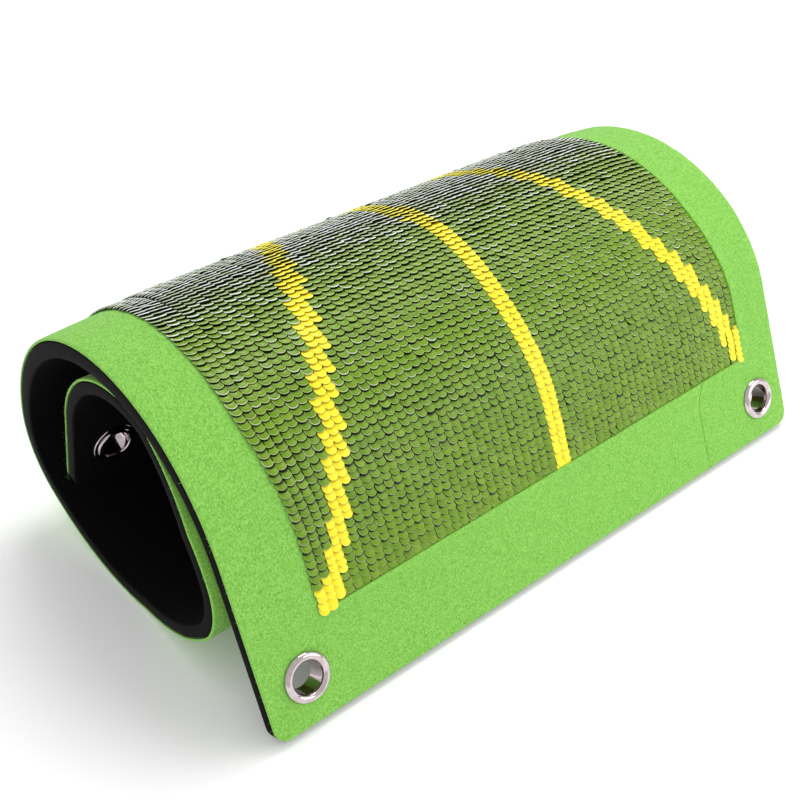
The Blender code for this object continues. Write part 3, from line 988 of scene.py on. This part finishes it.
def sequin_values(column, row, x, s):
    """What the look reads from each sequin: colour, shade, width of its painted shadow, and painted rim
    highlight.
    """
    front = 1.0 - risen(s, *FRONT_FADE)
    shine = sum(height * risen(s, *span) for height, *span in PAINTED_HIGHLIGHT_RISES)
    yellow = on_yellow_line(x, s) | in_yellow_corner(column, row)
    shade = 0.5 + RANDOM.normal(0.0, SHADE_SPREAD, x.size)
    # width of the painted shadow under the next row, wider at the crown
    painted_shadow_distance = PAINTED_SHADOW_LEAST + PAINTED_SHADOW_SPREAD * RANDOM.random(x.size) ** 3
    painted_shadow_distance = painted_shadow_distance + PAINTED_SHADOW_ON_CROWN * front * risen(s, *PAINTED_SHADOW_CROWN_RISE)
    # painted rim highlight, stronger towards the crown
    painted_highlight = PAINTED_HIGHLIGHT_LEAST + PAINTED_HIGHLIGHT_SPREAD * RANDOM.random(x.size) ** 2 + front * shine
    return {"yellow": yellow.astype(float), "shade": np.clip(shade, 0.0, 1.0), "painted_shadow_distance": painted_shadow_distance,
            "painted_highlight": np.clip(painted_highlight, 0.0, 1.0)}


def add_sequins(look, cloth):
    """The sequins, one piece to a hinge."""
    column, row, x, s = sequin_lattice()
    shift, depth, pitch, roll = sequin_poses(column, row, x, s)
    values = sequin_values(column, row, x, s)
    x = x + shift
    shape, under, triangles, quads = sequin_shape()
    disc = np.column_stack((shape[:, :2] / SEQUIN_RADIUS, np.zeros(len(shape))))
    for hinge in range(HINGES):
        start, end = piece_span(hinge)
        mine = (s >= start) & (s < end)
        points = placed_sequins(shape, x[mine], s[mine], pitch[mine], roll[mine], depth[mine])
        count = points.shape[0]
        offset = (np.arange(count) * len(shape))[:, None, None]
        faces = [(triangles + offset).reshape(-1, 3), (quads + offset).reshape(-1, 4)]
        flat = np.stack((x[mine], s[mine], depth[mine]), -1)[:, None] + shape
        extra = {key: np.repeat(value[mine], len(shape)) for key, value in values.items()}
        extra["under"] = np.tile(under, count)
        extra["disc"] = np.tile(disc, (count, 1))
        piece = new_mesh("sequins_%02d" % (hinge + 1), points.reshape(-1, 3), faces,
                         flat.reshape(-1, 3), extra, smooth=False)
        finish_piece(piece, hinge, look)
        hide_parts("sequin_rows_%02d" % (hinge + 1))


# ---------------------------------------------------------------- eyelets

def circle_points(centre, radius, start, end, count):
    """Points of an arc between two angles in degrees."""
    angle = np.radians(np.linspace(start, end, count))
    return [(centre[0] + radius * math.cos(a), centre[1] + radius * math.sin(a)) for a in angle]


def eyelet_outline():
    """Radius and height above the felt: domed flange, bore, and the rolled rim at the back."""
    outline = [(0.0099, 0.00012), (0.0100, 0.0004)]
    outline += circle_points((0.0082, 0.0001), 0.0018, 12.0, 150.0, 14)
    outline += [(0.0065, 0.0001), (0.00642, -0.0008), (0.0064, UNDERSIDE - 0.0006)]
    outline += circle_points((0.0074, UNDERSIDE - 0.0006), 0.0010, 180.0, 350.0, 10)
    outline += [(0.0078, UNDERSIDE - 0.0005), (0.0069, UNDERSIDE - 0.0004)]
    outline += [(0.0069, 0.0000), (0.0097, 0.00005)]
    return outline


def washer_outline():
    """Radius and height above the felt: a thin ring on the foam's back."""
    return [(0.0072, UNDERSIDE - 0.00005), (0.0072, UNDERSIDE - 0.0005), (0.0088, UNDERSIDE - 0.0006),
            (0.0097, UNDERSIDE - 0.0005), (0.0100, UNDERSIDE - 0.0002), (0.0100, UNDERSIDE - 0.00005)]


def turned(name, outline, x, s, look, body, node):
    """A turned metal piece, standing through the mat at the given place."""
    outline = np.array(outline)
    angle = np.arange(EYELET_SIDES) * 2 * math.pi / EYELET_SIDES
    radius, height = outline[None, :, 0], outline[None, :, 1]
    height = np.broadcast_to(height, (EYELET_SIDES, len(outline)))
    local = np.stack((radius * np.cos(angle)[:, None], radius * np.sin(angle)[:, None], height), -1)
    local = local.reshape(-1, 3)
    index = np.arange(len(local)).reshape(EYELET_SIDES, len(outline))
    ahead, along = np.roll(index, -1, 0), np.roll(index, -1, 1)
    both = np.roll(ahead, -1, 1)
    quads = np.stack((index, along, both, ahead), -1).reshape(-1, 4)
    slope = float(outer_face(s)[2])
    place = Matrix.Translation(Vector(rolled(x, s, FELT_FACE)[0])) @ Matrix.Rotation(slope, 4, "X")
    place = np.array(place)
    points = local @ place[:3, :3].T + place[:3, 3]
    piece = new_mesh(name, points, [quads], local)
    piece.data.materials.append(look)
    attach(piece, body)
    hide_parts(node)


def add_eyelets(look):
    for end, s, body in (("front", EYELET_INSET, "band_01"),
                         ("inner", LENGTH - EYELET_INSET, "band_%02d" % BANDS)):
        for side, x in (("left", -(HALF - EYELET_INSET)), ("right", HALF - EYELET_INSET)):
            place = end + "_" + side
            turned(place + "_grommet", eyelet_outline(), x, s, look, body, place + "_eyelet")
            turned(place + "_backing", washer_outline(), x, s, look, body, place + "_washer")


# ---------------------------------------------------------------- floor, light and camera

def add_floor():
    bpy.ops.mesh.primitive_plane_add(size=FLOOR_SIZE, location=(0.0, 0.0, 0.0))
    floor = bpy.context.object
    floor.name = "floor"
    look, shader = new_look("floor_white", 0.9)
    shader.inputs["Base Color"].default_value = (FLOOR_WHITE, FLOOR_WHITE, FLOOR_WHITE, 1.0)
    shader.inputs["Specular IOR Level"].default_value = 0.0
    shader.inputs["Emission Color"].default_value = (1.0, 1.0, 1.0, 1.0)
    shader.inputs["Emission Strength"].default_value = FLOOR_GLOW
    floor.data.materials.append(look)


def add_area_light(name, location, size, power):
    light = bpy.data.lights.new(name, "AREA")
    light.shape = "DISK"
    light.size = size
    light.energy = power
    lamp = bpy.data.objects.new(name, light)
    lamp.location = location
    aim = Vector(LIGHTS_AIM) - Vector(location)
    lamp.rotation_euler = aim.to_track_quat("-Z", "Y").to_euler()
    bpy.context.scene.collection.objects.link(lamp)


def add_light():
    bpy.context.scene.view_settings.view_transform = "Standard"
    world = bpy.data.worlds.new("studio")
    world.use_nodes = True
    background = world.node_tree.nodes["Background"]
    background.inputs["Color"].default_value = (1.0, 1.0, 1.0, 1.0)
    background.inputs["Strength"].default_value = WORLD_STRENGTH
    bpy.context.scene.world = world
    add_area_light("key", KEY_PLACE, KEY_SIZE, KEY_POWER)
    add_area_light("fill", FILL_PLACE, FILL_SIZE, FILL_POWER)


def add_camera():
    data = bpy.data.cameras.new("camera")
    data.sensor_width = 36.0
    data.lens = CAMERA_LENS
    camera = bpy.data.objects.new("camera", data)
    camera.location = CAMERA_PLACE
    camera.rotation_euler = (math.radians(90.0 - CAMERA_DOWN), 0.0, math.radians(-CAMERA_ROUND))
    bpy.context.scene.collection.objects.link(camera)
    bpy.context.scene.camera = camera


add_foam(foam_look())
add_felt(felt_look())
add_sequins(sequin_look(), add_cloth(cloth_look()))
add_eyelets(nickel_look())
add_floor()
add_light()
add_camera()
